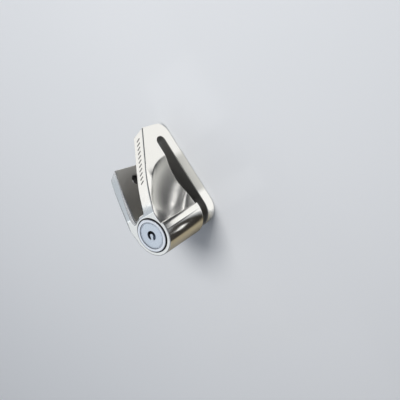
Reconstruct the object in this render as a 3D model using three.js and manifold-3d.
// A push-to-lock disc brake lock for a motorcycle: a cast U-shaped body that straddles the brake disc,
// and a key cylinder on a plunger that drives a hardened pin through one of the disc's holes.
// Millimetres. Z runs along the pin, from the flat back of the rear jaw to the key. Y runs from the
// pin to the tip of the arm. The origin is where the pin's axis meets the flat back. Heights in the
// code are measured from a datum plane just inside the rear jaw, and the finished group is raised by
// the datum's height, so that the flat back lies at Z = 0.

import * as THREE from "three";
import { mergeVertices } from "three/addons/utils/BufferGeometryUtils.js";
import Module from "manifold-3d";

// ---- driving dimensions ----

// Body, from back to front
const DATUM_HEIGHT = 1.3;
const SLOT_BACK = 7.2;
const SLOT_FRONT = 14.7;
const CHANNEL_FLOOR = 21;
const BORE_BACK = 22;
const SHOULDER = 48.1;
const FACE = 53.2;
const BARREL_RADIUS = 15.5;
const REAR_RADIUS = 14;
const SLOT_TOP = 55.3;
const LATCH_GROOVE_GAP = 0.2;

// Arm and fin
const ARM_INNER = 3;
const ARM_OUTER = 14;
const ARM_TIP = { y: 66.8, z: 19.6 };
const FIN_INNER = -8.5;
const FIN_OUTER = -20;
const FIN_TIP = { y: 51.7, z: 42.4 };
const EYELET = { y: 38.6, z: 29.5, radius: 3 };
const ARM_TOP_NORMAL = [-0.318, 1, -0.175];
const FIN_TOP_NORMAL = [-0.69, 1, -0.2];

// Hollow in the flank
const BOWL = { x: 20, y: 21.1, z: 26.1, halfSize: [10.3, 33.6, 19], tilt: -1.088 };
const VALLEY = { x: 39.2, y: 9, radius: 26 };
const CREASE = { point: [0, 3.4, 31], normal: [0, -1, -0.04] };

// Plunger
const TRAVEL = 13;
const RUNNING_GAP = 0.1;
const PIN_RADIUS = 7;
const PIN_TIP = 3;
const SOCKET_FLOOR = 2.4;
const SLEEVE_RADIUS = 11.1;
const FLANGE_RADIUS = 12.5;
const FLANGE_RING_RADIUS = 12.1;
const FLANGE_BACK = 48.4;
const FLANGE_STEP = 50.8;
const FLANGE_FRONT = 54.1;
const SLEEVE_BACK = 30.7;
const LATCH_RECESS_RADIUS = 5.5;
const PLATE_BACK = 28.4;
const PLATE_FRONT = 30.6;
const PIN_STUD_RADIUS = 4;
const BACK_SCREW_OFFSET = 7.6;
const BACK_SCREW_RADIUS = 0.9;
const BACK_SCREW_TIP = 33.6;
const CROSS_PIN = { z: 29.5, radius: 0.8, halfLength: 9.5 };
const RETURN_SPRING = { radius: 9, wire: 1.2, turns: 3.25 };
const O_RING = { radius: 12.14, wire: 0.9, z: 49.6 };
const WIPER_RING = { radius: 7.62, wire: 1.1, z: 18 };

// Key cylinder
const CORE_FACE_RADIUS = 9.8;
const CORE_FACE_BACK = 49.7;
const CORE_FACE_FRONT = 53.9;
const CORE_RADIUS = 8.6;
const CORE_BACK = 35.2;
const CORE_FRONT = 49.5;
const CUP_RADIUS = 7.3;
const DISC_RADIUS = 7.15;
const DISC_COUNT = 9;
const DISC_THICKNESS = 0.9;
const DISC_PITCH = 1.3;
const FIRST_DISC = 36.6;
const KEYWAY_RADIUS = 3.3;
const FACE_KEYWAY_RADIUS = 3.5;
const KEY_POST_RADIUS = 1.45;
const KEY_POST_ANGLE = (4 * Math.PI) / 3;
const TAIL_NECK_BACK = 34.05;
const TAIL_BACK = 33.5;
const TAIL_HALF_WIDTH = 1.75;
const CUP_FLOOR = 36.4;
const SIDEBAR_ANGLE = Math.PI / 6;
const SIDEBAR_BACK = 37.2;
const SIDEBAR_FRONT = 47.3;
const SIDEBAR_WIDTH = 1.3;
const GATE_WIDTH = 1.5;

// Latch, drawn in by a crank pin on the cam
const CAM_RADIUS = 4.4;
const CAM_BACK = 33;
const CAM_FRONT = 34;
const CRANK_RADIUS = 1.56;
const CRANK_PIN_RADIUS = 0.7;
const LATCH_BACK = 31;
const LATCH_FRONT = 32.8;
const LATCH_HALF_WIDTH = 3;
const LATCH_TIP = 13.4;
const LATCH_SPRING = { radius: 0.85, wire: 0.5, length: 3.6, turns: 5, y: 1.9, z: 31.85 };
const STOP_ANGLE = (5 * Math.PI) / 4;
const STOP_PIN_RADIUS = 1.15;
const STOP_Z = 46.4;

// How far a cutting shape runs past what it cuts
const OVERCUT = 1;

const wasm = await Module();
wasm.setup();

// ---- finishes ----

const finish = (color, roughness, metalness = 1) => () =>
  new THREE.MeshStandardMaterial({ color, roughness, metalness });
const polishedSteel = finish(0xded9d0, 0.14);
const satinChrome = finish(0xc9d3e6, 0.32);
const hardenedSteel = finish(0xb9bcc2, 0.22);
const springSteel = finish(0x8d9096, 0.35);
const brass = finish(0xc7a55a, 0.3);
const blackRubber = finish(0x141414, 0.8, 0);

// ---- solids ----

function solid(geometry) {
  geometry.deleteAttribute("normal");
  geometry.deleteAttribute("uv");
  const merged = mergeVertices(geometry, 1e-4);
  return new wasm.Manifold(
    new wasm.Mesh({
      numProp: 3,
      vertProperties: new Float32Array(merged.attributes.position.array),
      triVerts: new Uint32Array(merged.index.array),
    }),
  );
}

function toGeometry(manifold) {
  const mesh = manifold.getMesh();
  const geometry = new THREE.BufferGeometry();
  geometry.setAttribute("position", new THREE.BufferAttribute(mesh.vertProperties, 3));
  geometry.setIndex(new THREE.BufferAttribute(mesh.triVerts, 1));
  return geometry;
}

const union = (pieces) => pieces.reduce((whole, piece) => whole.add(piece));
const cut = (whole, pieces) => pieces.reduce((rest, piece) => rest.subtract(piece), whole);

// A cylinder or cone along Z, with its axis through (x, y)
function rod(radius, back, front, { x = 0, y = 0, sides = 32, backRadius = radius } = {}) {
  const geometry = new THREE.CylinderGeometry(radius, backRadius, front - back, sides);
  geometry.rotateX(Math.PI / 2);
  geometry.translate(x, y, (back + front) / 2);
  return solid(geometry);
}

function block(x0, x1, y0, y1, z0, z1) {
  const geometry = new THREE.BoxGeometry(x1 - x0, y1 - y0, z1 - z0);
  geometry.translate((x0 + x1) / 2, (y0 + y1) / 2, (z0 + z1) / 2);
  return solid(geometry);
}

// A block that reaches from radius `inner` to `outer`, in the direction `angle` about the pin's axis
function radialBlock(angle, inner, outer, width, back, front) {
  const geometry = new THREE.BoxGeometry(outer - inner, width, front - back);
  geometry.translate((inner + outer) / 2, 0, (back + front) / 2);
  geometry.rotateZ(angle);
  return solid(geometry);
}

// A rod that reaches from radius `inner` to `outer`, in the direction `angle` about the pin's axis
function radialRod(angle, inner, outer, radius, z, sides = 16) {
  const geometry = new THREE.CylinderGeometry(radius, radius, outer - inner, sides);
  geometry.rotateZ(-Math.PI / 2);
  geometry.translate((inner + outer) / 2, 0, z);
  geometry.rotateZ(angle);
  return solid(geometry);
}

const outline = (points) => new THREE.Shape(points.map(([a, b]) => new THREE.Vector2(a, b)));

// A plate square to Z, from an outline in (x, y)
function plate(shape, back, front) {
  const geometry = new THREE.ExtrudeGeometry(shape, {
    depth: front - back,
    bevelEnabled: false,
    curveSegments: 24,
  });
  geometry.translate(0, 0, back);
  return solid(geometry);
}

// A plate square to X, from an outline in (z, y)
function sidePlate(shape, x0, x1) {
  const geometry = new THREE.ExtrudeGeometry(shape, {
    depth: x1 - x0,
    bevelEnabled: false,
    curveSegments: 24,
  });
  geometry.rotateY(-Math.PI / 2);
  geometry.translate(x1, 0, 0);
  return solid(geometry);
}

// Everything on the far side of a plane, in the direction of its normal
function beyond(point, normal) {
  const size = 200;
  const geometry = new THREE.BoxGeometry(size, size, size);
  geometry.translate(0, 0, size / 2);
  const turn = new THREE.Quaternion();
  turn.setFromUnitVectors(new THREE.Vector3(0, 0, 1), new THREE.Vector3(...normal).normalize());
  geometry.applyQuaternion(turn);
  geometry.translate(...point);
  return solid(geometry);
}

class Helix extends THREE.Curve {
  constructor(radius, length, turns) {
    super();
    this.radius = radius;
    this.length = length;
    this.turns = turns;
  }

  getPoint(t, target = new THREE.Vector3()) {
    const angle = 2 * Math.PI * this.turns * t;
    return target.set(this.radius * Math.cos(angle), this.radius * Math.sin(angle), this.length * t);
  }
}

// A coil spring along Z that starts at 0; `length` is the height of its wire's centreline
function coil(radius, wire, length, turns, stepsPerTurn, sides) {
  const section = new THREE.Shape();
  section.absarc(0, 0, wire / 2, 0, 2 * Math.PI);
  return new THREE.ExtrudeGeometry(section, {
    steps: Math.round(turns * stepsPerTurn),
    curveSegments: sides,
    extrudePath: new Helix(radius, length, turns),
  });
}

function ring({ radius, wire, z }) {
  const geometry = new THREE.TorusGeometry(radius, wire / 2, 6, 40);
  geometry.translate(0, 0, z);
  return geometry;
}

// ---- cast body ----

// The arm, seen from the side: a U that closes over the slot, with a slanted front
function armProfile() {
  const shape = new THREE.Shape();
  const topSlope = 0.175;
  const backCornerStart = 3.5;
  const backCornerEnd = 52;
  const backY = ARM_TIP.y - topSlope * ARM_TIP.z;
  shape.moveTo(-DATUM_HEIGHT, 0);
  shape.lineTo(FACE, 0);
  shape.lineTo(FACE, 13.5);
  shape.quadraticCurveTo(49.6, 23, 45.2, 30.7);
  shape.lineTo(41.2, 36.7);
  shape.lineTo(ARM_TIP.z, ARM_TIP.y);
  shape.lineTo(backCornerStart, backY + topSlope * backCornerStart);
  shape.quadraticCurveTo(-DATUM_HEIGHT + 0.3, backY, -DATUM_HEIGHT, backCornerEnd);
  return shape;
}

function arm() {
  const plain = sidePlate(armProfile(), ARM_INNER, ARM_OUTER);
  const topFall = beyond([ARM_OUTER, ARM_TIP.y, ARM_TIP.z], ARM_TOP_NORMAL);
  return plain.subtract(topFall);
}

// The fin stands beside the arm on the front jaw only, and carries the cable eyelet
function fin() {
  const side = new THREE.Shape();
  side.moveTo(SLOT_FRONT, 0);
  side.lineTo(FACE, 0);
  side.lineTo(FACE, 15);
  side.quadraticCurveTo(48.9, 35, FIN_TIP.z, FIN_TIP.y);
  side.lineTo(SLOT_FRONT, 46);
  const front = outline([
    [-14.9, -4.2],
    [FIN_INNER, -4],
    [FIN_INNER, 54],
    [-15.4, 54],
    [-17.4, 11],
    [-17.1, 6],
    [-16.3, 1.2],
  ]);
  const slab = sidePlate(side, FIN_OUTER, FIN_INNER).intersect(plate(front, SLOT_FRONT, FACE));
  return slab.subtract(beyond([FIN_INNER, FIN_TIP.y, FIN_TIP.z], FIN_TOP_NORMAL));
}

function frontJaw() {
  const shape = outline([
    [-12, 0],
    [12, 0],
    [ARM_OUTER, 7],
    [ARM_OUTER, 54],
    [ARM_INNER, 54],
    [FIN_INNER, 46],
    [-15, 41],
    [-17.2, 11],
  ]);
  return plate(shape, SLOT_FRONT, CHANNEL_FLOOR);
}

function rearJaw() {
  const shape = new THREE.Shape();
  shape.absarc(0, 0, REAR_RADIUS, Math.PI, 2 * Math.PI);
  shape.lineTo(ARM_OUTER, 50);
  shape.lineTo(ARM_INNER, 50);
  shape.lineTo(-7, 34);
  shape.lineTo(-REAR_RADIUS, 9);
  return plate(shape, -DATUM_HEIGHT, SLOT_BACK);
}

// The gap that the brake disc runs through, with a round end
function discSlot() {
  const halfWidth = (SLOT_FRONT - SLOT_BACK) / 2;
  const reach = 30;
  const shape = new THREE.Shape();
  shape.moveTo(SLOT_BACK, -reach);
  shape.lineTo(SLOT_FRONT, -reach);
  shape.absarc(SLOT_BACK + halfWidth, SLOT_TOP - halfWidth, halfWidth, 0, Math.PI);
  return sidePlate(shape, -reach, reach);
}

// The hollow in the flank of the front jaw: a bowl, and a shallow valley along the barrel. Both stop
// at a crease just above the barrel's widest line.
function flankHollow() {
  const bowl = new THREE.SphereGeometry(1, 32, 20);
  bowl.scale(...BOWL.halfSize);
  bowl.rotateX(BOWL.tilt);
  bowl.translate(BOWL.x, BOWL.y, BOWL.z);
  const place = { x: VALLEY.x, y: VALLEY.y, sides: 96 };
  const valley = rod(VALLEY.radius, SLOT_FRONT - OVERCUT, FACE + OVERCUT, place);
  return solid(bowl).add(valley).subtract(beyond(CREASE.point, CREASE.normal));
}

function bores() {
  const wiperHalfWidth = 0.7;
  return [
    rod(FLANGE_RADIUS + 0.2, SHOULDER, FACE + OVERCUT, { sides: 48 }),
    rod(SLEEVE_RADIUS + RUNNING_GAP, BORE_BACK, SHOULDER + OVERCUT, { sides: 48 }),
    rod(PIN_RADIUS + RUNNING_GAP, SLOT_BACK, BORE_BACK + OVERCUT),
    rod(PIN_RADIUS + 0.3, SOCKET_FLOOR, SLOT_BACK + OVERCUT),
    rod(PIN_RADIUS + 1.3, WIPER_RING.z - wiperHalfWidth, WIPER_RING.z + wiperHalfWidth),
    latchGroove(),
    radialRod(STOP_ANGLE, 10, 17, STOP_PIN_RADIUS + 0.05, STOP_Z),
  ];
}

// The groove that the latch slides along, in the wall of the plunger's bore
function latchGroove() {
  const halfWidth = LATCH_HALF_WIDTH + LATCH_GROOVE_GAP;
  const depth = LATCH_TIP + 0.4;
  const back = LATCH_BACK - 0.4;
  const front = LATCH_FRONT + TRAVEL + 0.8;
  return block(-halfWidth, halfWidth, -depth, 0, back, front);
}

function bodyCasting() {
  const eyelet = radialRod(0, -25, -5, EYELET.radius, EYELET.z, 24).translate([0, EYELET.y, 0]);
  const barrel = rod(BARREL_RADIUS, SLOT_FRONT, FACE, { sides: 64 });
  const whole = union([arm(), fin(), frontJaw(), rearJaw(), barrel]);
  return cut(whole, [discSlot(), flankHollow(), eyelet, ...bores()]);
}

// ---- fixed fittings ----

function stopPin() {
  return radialRod(STOP_ANGLE, 10.4, 15.2, STOP_PIN_RADIUS, STOP_Z);
}

// ---- plunger ----

function plungerSleeve() {
  const whole = union([
    rod(SLEEVE_RADIUS, SLEEVE_BACK, FLANGE_BACK + OVERCUT, { sides: 48 }),
    rod(FLANGE_RADIUS, FLANGE_BACK, FLANGE_STEP, { sides: 48 }),
    rod(FLANGE_RING_RADIUS, FLANGE_BACK, FLANGE_FRONT, { sides: 48 }),
  ]);
  const screwThreads = [-1, 1].map((side) =>
    rod(1, SLEEVE_BACK - OVERCUT, BACK_SCREW_TIP + 0.4, { x: side * BACK_SCREW_OFFSET, sides: 12 }),
  );
  return cut(whole, [
    rod(CORE_FACE_RADIUS + 0.15, CORE_FRONT, FLANGE_FRONT + OVERCUT, { sides: 48 }),
    rod(CORE_RADIUS + RUNNING_GAP, CORE_BACK - 0.1, CORE_FRONT + OVERCUT, { sides: 48 }),
    rod(3.2, SLEEVE_BACK, CORE_BACK, { sides: 24 }),
    rod(LATCH_RECESS_RADIUS, SLEEVE_BACK - OVERCUT, CAM_FRONT + 0.1),
    ...latchAndStopSlots(),
    ...screwThreads,
    oRingGroove(),
  ]);
}

function latchAndStopSlots() {
  const halfWidth = LATCH_HALF_WIDTH + RUNNING_GAP;
  const stopBack = STOP_Z - TRAVEL - 1.7;
  return [
    block(-halfWidth, halfWidth, -LATCH_TIP - 0.6, 0, SLEEVE_BACK - OVERCUT, LATCH_FRONT + 0.15),
    radialRod(Math.PI / 2, 4, 8.4, 1.5, LATCH_SPRING.z),
    radialBlock(SIDEBAR_ANGLE, 8, 9.6, 2.2, SIDEBAR_BACK - 0.2, SIDEBAR_FRONT + 0.2),
    radialBlock(STOP_ANGLE, 10.2, 13, 2.6, stopBack, FLANGE_BACK - 0.4),
  ];
}

function oRingGroove() {
  const halfWidth = 0.5;
  const floorRadius = 11.65;
  const floor = rod(floorRadius, O_RING.z - OVERCUT, O_RING.z + OVERCUT, { sides: 48 });
  return rod(14, O_RING.z - halfWidth, O_RING.z + halfWidth, { sides: 48 }).subtract(floor);
}

function sleeveBackPlate() {
  const screwHoles = [-1, 1].flatMap((side) => [
    rod(1, PLATE_BACK - OVERCUT, PLATE_FRONT + OVERCUT, { x: side * BACK_SCREW_OFFSET, sides: 12 }),
    rod(2, PLATE_BACK - OVERCUT, PLATE_BACK + 1.1, { x: side * BACK_SCREW_OFFSET, sides: 16 }),
  ]);
  return cut(rod(SLEEVE_RADIUS - 0.1, PLATE_BACK, PLATE_FRONT, { sides: 48 }), [
    rod(PIN_STUD_RADIUS + RUNNING_GAP, PLATE_BACK - OVERCUT, PLATE_FRONT + OVERCUT),
    crossPinHole(12),
    ...screwHoles,
  ]);
}

function backPlateScrew(side) {
  const x = side * BACK_SCREW_OFFSET;
  const headBack = PLATE_BACK + 0.05;
  const screw = union([
    rod(1.85, headBack, PLATE_BACK + 1, { x, sides: 16 }),
    rod(BACK_SCREW_RADIUS, PLATE_BACK + 0.5, BACK_SCREW_TIP, { x, sides: 12 }),
  ]);
  const hexSocket = rod(0.8, PLATE_BACK - OVERCUT, headBack + 0.55, { x, sides: 6 });
  return screw.subtract(hexSocket);
}

function crossPin() {
  const { z, radius, halfLength } = CROSS_PIN;
  return radialRod(Math.PI / 2, -halfLength, halfLength, radius, z, 12);
}

function crossPinHole(reach) {
  const { z, radius } = CROSS_PIN;
  return radialRod(Math.PI / 2, -reach, reach, radius + 0.05, z, 12);
}

function lockingPin() {
  const chamfer = 1.2;
  const whole = union([
    rod(PIN_RADIUS, PIN_TIP, PIN_TIP + chamfer, { backRadius: PIN_RADIUS - chamfer }),
    rod(PIN_RADIUS, PIN_TIP + chamfer, PLATE_BACK - 0.1),
    rod(PIN_STUD_RADIUS, PLATE_BACK - OVERCUT, PLATE_FRONT - 0.1),
  ]);
  return whole.subtract(crossPinHole(6));
}

function returnSpring() {
  const { radius, wire, turns } = RETURN_SPRING;
  const back = BORE_BACK + 0.2 + wire / 2;
  const front = PLATE_BACK - 0.2 - wire / 2;
  const geometry = coil(radius, wire, front - back, turns, 16, 3);
  geometry.translate(0, 0, back);
  return geometry;
}

// ---- key cylinder ----

// A half-round keyhole around a centre post, open towards the post's root
function keyway(back, front) {
  const postRootWidth = 2.2;
  return cut(rod(FACE_KEYWAY_RADIUS, back, front, { sides: 24 }), [
    rod(KEY_POST_RADIUS, back - OVERCUT, front + OVERCUT, { sides: 16 }),
    radialBlock(KEY_POST_ANGLE, 0, 5, postRootWidth, back - OVERCUT, front + OVERCUT),
  ]);
}

function coreFace() {
  const whole = rod(CORE_FACE_RADIUS, CORE_FACE_BACK, CORE_FACE_FRONT, { sides: 48 });
  return whole.subtract(keyway(CORE_FACE_BACK - OVERCUT, CORE_FACE_FRONT + OVERCUT));
}

function halfRoundHole(back, front) {
  const flat = block(-5, 5, -5, -1.4, back - OVERCUT, front + OVERCUT);
  return rod(KEYWAY_RADIUS, back, front, { sides: 20 }).subtract(flat);
}

function antiDrillDisc() {
  const front = CORE_FRONT - 0.1;
  const back = front - 1.2;
  return rod(DISC_RADIUS, back, front).subtract(halfRoundHole(back - OVERCUT, front + OVERCUT));
}

function coreBarrel() {
  const half = TAIL_HALF_WIDTH;
  const whole = union([
    rod(CORE_RADIUS, CORE_BACK, CORE_FRONT, { sides: 48 }),
    rod(3.1, TAIL_NECK_BACK, CORE_BACK + OVERCUT, { sides: 24 }),
    block(-half, half, -half, half, TAIL_BACK, CORE_BACK),
  ]);
  return cut(whole, [
    rod(CUP_RADIUS, CUP_FLOOR, CORE_FRONT + OVERCUT, { sides: 40 }),
    radialBlock(SIDEBAR_ANGLE, 6.5, 9, GATE_WIDTH, SIDEBAR_BACK - 0.2, SIDEBAR_FRONT + 0.2),
  ]);
}

// Each disc's gate stands at its own angle until the key lines them all up with the sidebar
function detentDisc(index) {
  const back = FIRST_DISC + index * DISC_PITCH;
  const front = back + DISC_THICKNESS;
  const code = (index * 5) % 7;
  const gateAngle = SIDEBAR_ANGLE + 0.35 + code * 0.22;
  return cut(rod(DISC_RADIUS, back, front, { sides: 24 }), [
    halfRoundHole(back - OVERCUT, front + OVERCUT),
    radialBlock(gateAngle, 6.2, 8, GATE_WIDTH, back - OVERCUT, front + OVERCUT),
  ]);
}

function discSpacer(index) {
  const gap = 0.05;
  const back = FIRST_DISC + index * DISC_PITCH + DISC_THICKNESS + gap;
  const front = back + DISC_PITCH - DISC_THICKNESS - 2 * gap;
  const hole = rod(KEYWAY_RADIUS + 0.3, back - OVERCUT, front + OVERCUT, { sides: 16 });
  return rod(DISC_RADIUS, back, front, { sides: 24 }).subtract(hole);
}

function sidebar() {
  return radialBlock(SIDEBAR_ANGLE, 7.45, 8.5, SIDEBAR_WIDTH, SIDEBAR_BACK, SIDEBAR_FRONT);
}

function cam() {
  const crankOffset = -CRANK_RADIUS * Math.SQRT1_2;
  const half = TAIL_HALF_WIDTH + RUNNING_GAP;
  const whole = union([
    rod(CAM_RADIUS, CAM_BACK, CAM_FRONT),
    rod(CRANK_PIN_RADIUS, CAM_BACK - 1.7, CAM_BACK + 0.3, { x: crankOffset, y: crankOffset, sides: 12 }),
  ]);
  return whole.subtract(block(-half, half, -half, half, TAIL_BACK - 0.1, CAM_FRONT + OVERCUT));
}

// ---- latch ----

function latchBolt() {
  const tail = 1.4;
  const crankY = -CRANK_RADIUS * Math.SQRT1_2;
  const half = CRANK_PIN_RADIUS + 0.12;
  const bar = block(-LATCH_HALF_WIDTH, LATCH_HALF_WIDTH, -LATCH_TIP, tail, LATCH_BACK, LATCH_FRONT);
  const window = block(-2.4, -0.2, crankY - half, crankY + half, LATCH_BACK - 1, LATCH_FRONT + 1);
  return bar.subtract(window);
}

function latchSpring() {
  const { radius, wire, length, turns, y, z } = LATCH_SPRING;
  const geometry = coil(radius, wire, length, turns, 8, 2);
  geometry.rotateX(-Math.PI / 2);
  geometry.translate(0, y, z);
  return geometry;
}

// ---- assembly ----

const lock = new THREE.Group();

function addPiece(name, shape, material) {
  const geometry = shape.isBufferGeometry ? shape : toGeometry(shape);
  const mesh = new THREE.Mesh(geometry, material());
  mesh.name = name;
  lock.add(mesh);
}

lock.position.z = DATUM_HEIGHT;

addPiece("body_casting", bodyCasting(), polishedSteel);
addPiece("stop_pin", stopPin(), hardenedSteel);
addPiece("pin_wiper_ring", ring(WIPER_RING), blackRubber);

addPiece("plunger_sleeve", plungerSleeve(), polishedSteel);
addPiece("sleeve_o_ring", ring(O_RING), blackRubber);
addPiece("sleeve_back_plate", sleeveBackPlate(), hardenedSteel);
addPiece("back_plate_screw_left", backPlateScrew(-1), hardenedSteel);
addPiece("back_plate_screw_right", backPlateScrew(1), hardenedSteel);
addPiece("locking_pin", lockingPin(), hardenedSteel);
addPiece("pin_cross_pin", crossPin(), hardenedSteel);
addPiece("return_spring", returnSpring(), springSteel);

addPiece("core_face", coreFace(), satinChrome);
addPiece("anti_drill_disc", antiDrillDisc(), hardenedSteel);
addPiece("core_barrel", coreBarrel(), brass);
for (let index = 0; index < DISC_COUNT; index += 1) {
  addPiece(`detent_disc_${index + 1}`, detentDisc(index), brass);
}
for (let index = 0; index < DISC_COUNT - 1; index += 1) {
  addPiece(`disc_spacer_${index + 1}`, discSpacer(index), springSteel);
}
addPiece("sidebar", sidebar(), hardenedSteel);
addPiece("cam", cam(), hardenedSteel);

addPiece("latch_bolt", latchBolt(), hardenedSteel);
addPiece("latch_spring", latchSpring(), springSteel);

export default lock;
